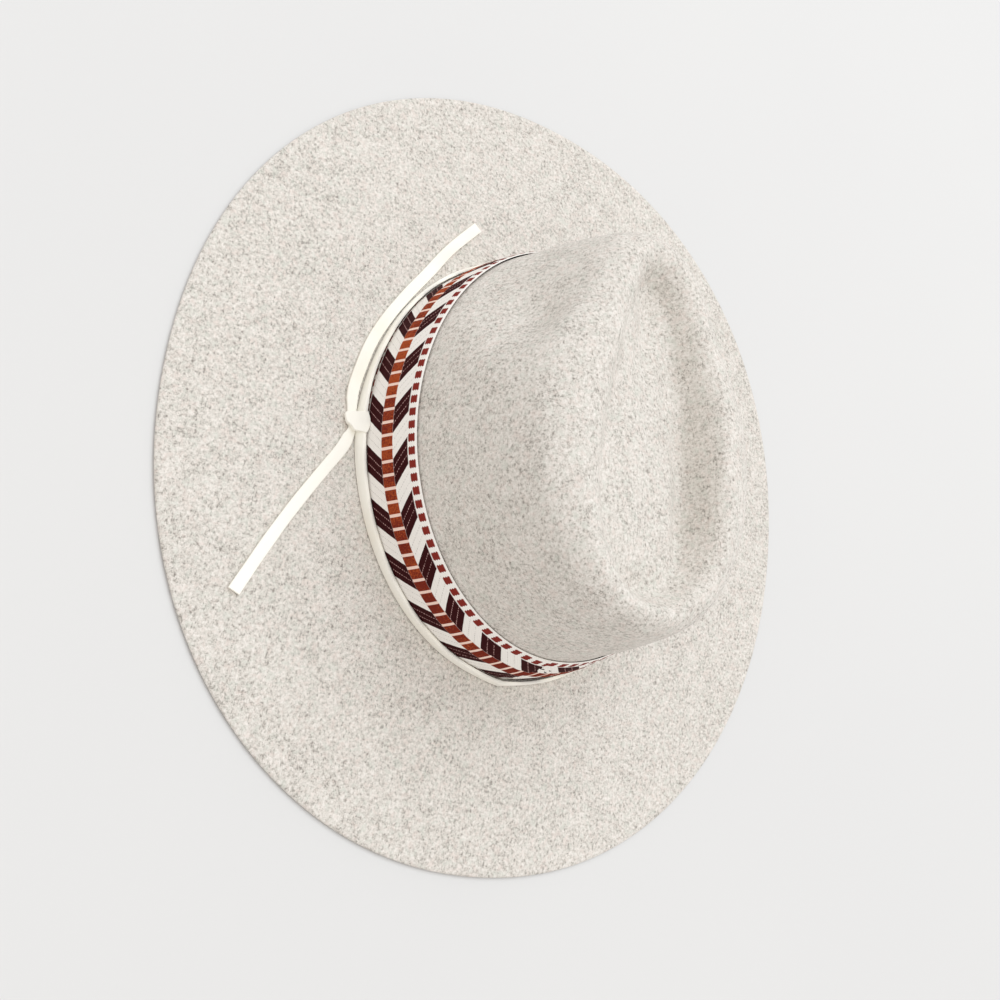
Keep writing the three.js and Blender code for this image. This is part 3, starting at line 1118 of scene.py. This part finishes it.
def round_crown(points: np.ndarray) -> tuple[np.ndarray, np.ndarray]:
    """Find where points lie round +Z, and how high they lie between the lowest and the highest.

    Args:
        points: Rows of x, y, z.

    Returns:
        Turns from -pi to pi, and shares of the height from 0 to 1.
    """
    low, high = points[:, 2].min(), points[:, 2].max()
    return np.arctan2(points[:, 1], points[:, 0]), (points[:, 2] - low) / (high - low)


@dataclass
class WovenRibbon:
    """Woven ribbon round the foot of the crown, its blocks, chevrons and edges standing proud in relief."""

    finish: RibbonFinish
    node: str = "hat_band"
    thickness: float = 0.5
    fine: int = 4
    coarse: int = 2
    block_rise: float = 0.42
    dash_rise: float = 0.2
    chevron_rise: float = 0.12
    edge_width: float = 1.1
    edge_drop: float = 0.5
    join_at: float = 0.25
    join_rise: float = 0.55
    join_shift: float = 0.13
    join_radius: float = 100.0
    join_fade: Span = (4.0, 16.0)
    block_half: float = 0.42
    block_soft: Span = (0.3, -0.9)
    dash_half: float = 0.33
    dash_start: Span = (0.2, 0.9)
    dash_stop: Span = (0.2, -0.6)
    slant_start: Span = (0.6, 0.0)
    slant_stop: Span = (0.3, -0.5)
    bar_start: Span = (0.0, 0.03)
    bar_stop: Span = (0.47, 0.5)
    edge_from: float = -0.2

    def outer_strip(self, name: str, levels: int) -> bpy.types.Object:
        """Cut the ribbon's outer face out of a copy of the node, and make it finer.

        Args:
            name: The strip's name.
            levels: How many times each of its faces is split in four.

        Returns:
            An open strip round the crown.
        """
        piece = Bench.copy_of_node(self.node, name)
        centre = Bench.points(piece).mean(0)

        def is_inner(face: bpy.types.MeshPolygon) -> bool:
            """Tell whether a face doesn't look outwards."""
            away = Vector((face.center.x - centre[0], face.center.y - centre[1], 0)).normalized()
            return face.normal.dot(away) < 0.5

        Bench.select_faces(piece, is_inner)
        bpy.ops.mesh.delete(type="FACE")
        Bench.leave()
        Bench.subdivide(piece, levels)
        return piece

    def walk(self, points: np.ndarray) -> Walk:
        """Measure how far round the ribbon's middle line each turn lies.

        Args:
            points: The strip's points.

        Returns:
            Turns from -pi to pi, and the repeats of the pattern from +X up to each of them.
        """
        low, high = points[:, 2].min(), points[:, 2].max()
        row = points[np.abs(points[:, 2] - (low + high) / 2).argmin(), 2]
        line = points[np.abs(points[:, 2] - row) < 0.1 * MM]
        angle = np.arctan2(line[:, 1], line[:, 0])
        order = np.argsort(angle)
        fine = np.linspace(-math.pi, math.pi, 2001)
        reach = np.interp(fine, angle[order], np.hypot(line[order, 0], line[order, 1]), period=TURN)
        ring = np.stack([reach * np.cos(fine), reach * np.sin(fine)], axis=1)
        walked = np.concatenate([[0], np.cumsum(np.linalg.norm(np.diff(ring, axis=0), axis=1))])
        return fine, (walked - np.interp(0, fine, walked)) / walked[-1] * self.finish.repeats

    def repeats_at(self, turns: np.ndarray, past_join: np.ndarray, walk: Walk) -> np.ndarray:
        """Count the pattern's repeats at some turns; it starts anew past the join and closes by the far side.

        Args:
            turns: The turns, from -pi to pi.
            past_join: Whether each lies past the join.
            walk: What walk() measured.

        Returns:
            The repeats from +X.
        """
        fine, walked = walk
        plain = np.interp(turns, fine, walked)
        join = float(np.interp(self.join_at * TURN, fine, walked))
        fade = np.clip((walked[-1] - plain) / (walked[-1] - join), 0, 1)
        return plain + np.where(past_join, self.join_shift * fade, 0)

    def relief(self, mm: np.ndarray, across: np.ndarray) -> np.ndarray:
        """Work out how far the weave stands proud.

        Args:
            mm: Millimetres along the pattern.
            across: Millimetres up from the ribbon's foot.

        Returns:
            The rise at each point, in millimetres.
        """
        look = self.finish
        off = np.abs(across - look.middle)
        above = across > look.middle

        def past(line: float | np.ndarray, soft: Span) -> np.ndarray:
            """Go from 0 to 1 between two distances from a line."""
            return ease(off, line + soft[0], line + soft[1])

        slant_end = np.where(above, look.slant_upper, look.slant_lower)
        dash_end = np.where(above, look.dash_upper, look.dash_lower)
        begun = mm - (across - look.middle) * look.block_lean - look.block_start
        block = np.abs(np.mod(begun / (look.repeat_length / look.blocks), 1) - 0.5)
        dome = np.sqrt(np.clip(1 - (block / self.block_half) ** 2, 0, 1))
        centre = past(look.centre_half, self.block_soft)
        run = mm + (off - look.centre_half) * look.slant_rise - above * look.upper_shift
        phase = np.mod(run / look.repeat_length, 1)
        dark = ease(phase, *self.bar_start) - ease(phase, *self.bar_stop)
        slant = (1 - past(look.centre_half, self.slant_start)) * past(slant_end, self.slant_stop)
        dash = past(slant_end, self.dash_start) * past(dash_end, self.dash_stop)
        small = np.clip(1 - (block / self.dash_half) ** 2, 0, 1)
        edge = np.minimum(across, look.height - across)
        drop = (1 - ease(edge, self.edge_from, self.edge_width)) * self.edge_drop
        rise = self.block_rise * dome * centre + self.dash_rise * small * dash
        return rise + self.chevron_rise * dark * slant - drop

    def raise_weave(self, piece: bpy.types.Object, walk: Walk) -> None:
        """Move the strip's points out by the relief and by the lap at the join."""
        points = Bench.points(piece)
        turns, share = round_crown(points)
        repeats = self.repeats_at(turns, turns > self.join_at * TURN, walk)
        rise = self.relief(repeats * self.finish.repeat_length, share * self.finish.height)
        before = (self.join_at * TURN - turns) * self.join_radius
        rise += np.where(before > 0, self.join_rise * (1 - ease(before, *self.join_fade)), 0)
        away = np.empty(len(points) * 3)
        piece.data.vertex_normals.foreach_get("vector", away)
        Bench.place(piece, points + away.reshape(-1, 3) * rise[:, None] * MM)

    def map_pattern(self, piece: bpy.types.Object, walk: Walk) -> None:
        """Write the UV map: repeats of the pattern along, share of the height across.

        Args:
            piece: The strip.
            walk: What walk() measured.
        """
        for old in list(piece.data.uv_layers):
            piece.data.uv_layers.remove(old)
        layer = piece.data.uv_layers.new(name="ribbon")
        turns, share = round_crown(Bench.points(piece))
        faces = np.empty(len(piece.data.loops), dtype=np.int32)
        piece.data.loops.foreach_get("vertex_index", faces)
        corner = turns[faces]
        sides = [face.loop_total for face in piece.data.polygons]
        owner = np.repeat(np.arange(len(sides)), sides)
        lowest, highest = np.full(len(sides), TURN), np.full(len(sides), -TURN)
        np.minimum.at(lowest, owner, corner)
        np.maximum.at(highest, owner, corner)
        seam = (highest - lowest > math.pi)[owner]
        middle = ((lowest + highest) / 2)[owner]
        past = (middle > self.join_at * TURN) & ~seam
        along = self.repeats_at(corner, past, walk) + np.where(seam & (corner < 0), self.finish.repeats, 0)
        layer.data.foreach_set("uv", np.stack([along, share[faces]], axis=1).ravel())

    def close(self, outer: bpy.types.Object, inner: bpy.types.Object) -> None:
        """Join the ribbon's two faces along its upper and its lower edge."""
        Bench.take(inner)
        bpy.ops.object.mode_set(mode="EDIT")
        bpy.ops.mesh.select_all(action="SELECT")
        bpy.ops.transform.shrink_fatten(value=-self.thickness * MM)
        bpy.ops.mesh.flip_normals()
        Bench.leave()
        middle = float(Bench.points(outer)[:, 2].mean())
        Bench.take(outer)
        inner.select_set(True)
        bpy.ops.object.join()
        for upper in (True, False):
            Bench.edit(outer)
            bpy.ops.mesh.select_all(action="DESELECT")
            bpy.ops.mesh.select_mode(type="EDGE")
            others = dict.fromkeys(("use_wire", "use_multi_face", "use_non_contiguous", "use_verts"), False)
            bpy.ops.mesh.select_non_manifold(extend=False, use_boundary=True, **others)
            Bench.leave()
            for edge in outer.data.edges:
                height = outer.data.vertices[edge.vertices[0]].co.z
                edge.select = edge.select and (height > middle) == upper
            bpy.ops.object.mode_set(mode="EDIT")
            bpy.ops.mesh.bridge_edge_loops()
            Bench.leave()

    def build(self, material: bpy.types.Material) -> bpy.types.Object:
        """Make the ribbon and dress it.

        Args:
            material: The ribbon's material.

        Returns:
            The piece.
        """
        piece = self.outer_strip("woven_ribbon", self.fine)
        walk = self.walk(Bench.points(piece))
        self.raise_weave(piece, walk)
        self.map_pattern(piece, walk)
        inner = self.outer_strip("ribbon_back", self.coarse)
        self.map_pattern(inner, walk)
        self.close(piece, inner)
        Bench.smooth(piece)
        Bench.finish(piece, material, Slot.RIBBON, [self.node])
        return piece


def narrowest(points: np.ndarray, nearest: bool, gap: float = 0.8) -> Walk:
    """Walk round +Z, and find how near to it, or how far from it, the points come.

    Args:
        points: Rows of x, y, z.
        nearest: Whether the nearest points are looked for, and not the farthest.
        gap: How many degrees at least lie between two columns of points.

    Returns:
        Turns in rising order, and the distance at each of them.
    """
    turns = np.arctan2(points[:, 1], points[:, 0])
    order = np.argsort(turns)
    reach = np.hypot(points[order, 0], points[order, 1])
    turns = turns[order]
    starts = np.concatenate([[0], np.flatnonzero(np.diff(turns) > math.radians(gap)) + 1])
    pick = np.minimum if nearest else np.maximum
    return turns[starts], pick.reduceat(reach, starts)


@dataclass
class LaceLoop:
    """The lace's loop, which stands on edge and leans back on the ribbon's foot. Angles are in degrees."""

    node: str = "lace_loop"
    backed_by: str = "hat_band"
    corner: float = 0.4
    clearance: float = 0.25
    rest_lean: float = 0.3
    rear_lean: float = 0.7
    rear_from: float = 4.0
    rear_to: float = 72.0
    fade: float = 16.0
    knot_y: float = 3.6
    reach_in: float = 5.3
    end_off: float = 5.45
    end_reach: float = 0.8

    def lean_back(self, piece: bpy.types.Object) -> None:
        """Lean the strip, so that its upper edge comes near the ribbon, and touches behind the knot."""
        points = Bench.points(piece)
        band = Bench.points(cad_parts[self.backed_by])
        foot = band[band[:, 2] < band[:, 2].min() + MM]
        turns, share = round_crown(points)
        inner = np.interp(turns, *narrowest(points, nearest=True), period=TURN)
        outer = np.interp(turns, *narrowest(foot, nearest=False), period=TURN)
        room = np.clip(inner - outer - self.clearance * MM, 0, None)
        degrees = np.degrees(turns)
        rear = ease(degrees, self.rear_from - self.fade, self.rear_from)
        rear *= 1 - ease(degrees, self.rear_to, self.rear_to + self.fade)
        back = room * (self.rest_lean + self.rear_lean * rear) * share
        away = points[:, :2] / np.linalg.norm(points[:, :2], axis=1)[:, None]
        points[:, :2] -= away * back[:, None]
        Bench.place(piece, points)

    def run_under_knot(self, piece: bpy.types.Object) -> None:
        """Draw the strip's two ends on until they nearly meet inside the knot."""
        for way in (1, -1):

            def is_end(face: bpy.types.MeshPolygon) -> bool:
                """Tell whether a face belongs to this end of the strip."""
                near = abs(face.center.y - (self.knot_y - self.end_off * way) * MM) < self.end_reach * MM
                return near and face.center.x > 0 and face.normal.y * way > 0.8

            Bench.select_faces(piece, is_end)
            move = (0, self.reach_in * way * MM, 0)
            bpy.ops.mesh.extrude_region_move(TRANSFORM_OT_translate={"value": move})
            Bench.leave()

    def build(self, material: bpy.types.Material) -> bpy.types.Object:
        """Make the loop and dress it.

        Args:
            material: The lace's material.

        Returns:
            The piece.
        """
        piece = Bench.copy_of_node(self.node, "lace_round_crown")
        self.lean_back(piece)
        self.run_under_knot(piece)
        Bench.bevel(piece, self.corner, 50)
        Bench.smooth(piece)
        Bench.finish(piece, material, Slot.LACE, [self.node])
        return piece


@dataclass
class LaceKnot:
    """The lace's knot: a flat wrap pulled tight over the strands that pass under it. Millimetres."""

    node: str = "lace_knot"
    outline: Sequence[Point] = (
        (98.0, 2.7, 5.5),
        (97.2, 1.3, 5.9),
        (89.1, 0.3, 9.9),
        (87.5, 3.3, 9.9),
        (87.0, 6.0, 9.9),
        (88.1, 10.0, 9.9),
        (93.4, 9.6, 7.8),
        (95.0, 7.3, 7.0),
        (96.6, 6.5, 6.2),
        (97.3, 4.9, 5.8),
    )
    foot: float = 3.0
    rim: float = 0.5
    dome: float = 0.22
    lap: float = 1.6
    tuck: float = 0.84
    corner: float = 0.14
    step_in: float = 0.1
    body: float = 0.8
    strand_size: Point = (4.6, 3.4, 1.6)
    strand_at: Point = (94.4, 3.7, 3.75)

    def wrap(self, material: bpy.types.Material) -> bpy.types.Object:
        """Pull the flat wrap tight: a slanted lap with its thickness showing, over a body tucked under it.

        Args:
            material: The lace's material.

        Returns:
            The piece.
        """
        centre = metres(np.mean(self.outline, axis=0))
        bpy.ops.mesh.primitive_circle_add(vertices=len(self.outline), radius=MM, fill_type="NGON")
        piece = Bench.named("knot_wrap")
        Bench.place(piece, np.array(self.outline) * MM)
        Bench.edit(piece)
        bpy.ops.mesh.normals_make_consistent(inside=False)
        bpy.ops.mesh.select_mode(type="EDGE")
        bpy.ops.mesh.select_all(action="SELECT")
        bpy.ops.mesh.region_to_loop()
        flat = (1, 1, 0)
        stages = (
            (self.lap, None, None),
            (self.step_in, (self.tuck, self.tuck, 1), centre),
            (self.body, flat, metres((0, 0, self.foot))),
        )
        for down, resize, about in stages:
            bpy.ops.mesh.extrude_edges_move(TRANSFORM_OT_translate={"value": (0, 0, -down * MM)})
            if resize:
                bpy.ops.transform.resize(value=resize, center_override=about)
        bpy.ops.mesh.edge_face_add()
        bpy.ops.mesh.select_all(action="SELECT")
        bpy.ops.mesh.normals_make_consistent(inside=False)
        bpy.ops.mesh.select_all(action="DESELECT")
        Bench.leave()
        top = max(piece.data.polygons, key=lambda face: face.center.z * (len(face.vertices) > 4))
        Bench.select_faces(piece, lambda face: face.index == top.index)
        for share in (1, 2):
            bpy.ops.mesh.inset(thickness=self.rim * share * MM, depth=self.dome * MM)
        bpy.ops.mesh.poke()
        Bench.leave()
        Bench.bevel(piece, self.corner, 35)
        Bench.subdivide(piece, 1)
        Bench.smooth(piece, 60)
        Bench.finish(piece, material, Slot.LACE, [self.node])
        return piece

    def strand(self, material: bpy.types.Material) -> bpy.types.Object:
        """Lay the flat strand that fills the knot under the wrap, between the two free ends.

        Args:
            material: The lace's material.

        Returns:
            The piece.
        """
        centre = metres(self.strand_at)
        bpy.ops.mesh.primitive_cube_add(size=MM, location=centre)
        piece = Bench.named("knot_core")
        Bench.edit(piece)
        bpy.ops.transform.resize(value=self.strand_size, center_override=centre)
        Bench.leave()
        bpy.ops.object.transform_apply(location=True, rotation=True, scale=True)
        Bench.bevel(piece, self.corner, 30)
        Bench.smooth(piece, 60)
        Bench.finish(piece, material, Slot.LACE, [self.node])
        return piece

    def build(self, material: bpy.types.Material) -> None:
        """Make the strand under the knot, and the knot's wrap."""
        self.strand(material)
        self.wrap(material)


@dataclass
class JoinStitches:
    """The few dark stitches that hold the ribbon's end down at the back. Millimetres."""

    node: str = "hat_band"
    thickness: float = 0.45
    places: Sequence[tuple[Point, float]] = (
        ((3.6, 102.9, 40.9), 2.6),
        ((-0.9, 103.0, 40.4), 1.2),
        ((-1.2, 103.4, 36.6), 1.6),
    )

    def build(self, material: bpy.types.Material) -> bpy.types.Object:
        """Make the stitches as one piece and dress it.

        Args:
            material: The thread's material.

        Returns:
            The piece.
        """
        bpy.ops.object.select_all(action="DESELECT")
        made = []
        for place, long in self.places:
            bpy.ops.mesh.primitive_uv_sphere_add(segments=12, ring_count=8, radius=0.5 * MM)
            stitch = bpy.context.object
            Bench.edit(stitch)
            bpy.ops.transform.resize(value=(long, self.thickness, self.thickness), center_override=(0, 0, 0))
            bpy.ops.transform.translate(value=metres(place))
            Bench.leave()
            made.append(stitch)
        for stitch in made:
            stitch.select_set(True)
        bpy.context.view_layer.objects.active = made[0]
        bpy.ops.object.join()
        piece = Bench.named("join_stitches")
        Bench.smooth(piece, 60)
        Bench.finish(piece, material, Slot.RIBBON, [self.node])
        return piece


SIDE_ROUTE = (
    (94.2, 9.4),
    (94.9, 14.4),
    (97.3, 20),
    (100.6, 25.8),
    (106.5, 36.2),
    (112.1, 46.4),
    (117.3, 56.5),
    (124.2, 71),
    (132.6, 89.8),
)
FRONT_ROUTE = (
    (95.2, -1.7),
    (95.4, -9.5),
    (93.6, -21),
    (90, -35.7),
    (84.3, -49.4),
    (75.9, -64.9),
    (66.6, -80),
    (56.4, -97),
    (43, -114.8),
)


def main() -> None:
    """Build the hat in order, and report each piece."""
    logging.basicConfig(level=logging.INFO, format="%(name)s: %(message)s")
    studio = Studio()
    nap = Nap().group()
    lace = LaceFinish(nap).material()
    studio.set_camera()
    LaceTail("lace_end_side", "lace_tail_side", SIDE_ROUTE, tucked=0.9, seed=1.7).build(lace)
    LaceTail("lace_end_front", "lace_tail_front", FRONT_ROUTE, tucked=-0.5, seed=4.1).build(lace)
    studio.set_floor()
    studio.set_light()
    FeltBody().build(FeltFinish(nap).material())
    ribbon = RibbonFinish()
    WovenRibbon(ribbon).build(ribbon.material())
    JoinStitches().build(ThreadFinish().material())
    LaceLoop().build(lace)
    LaceKnot().build(lace)


if __name__ == "__main__":
    main()
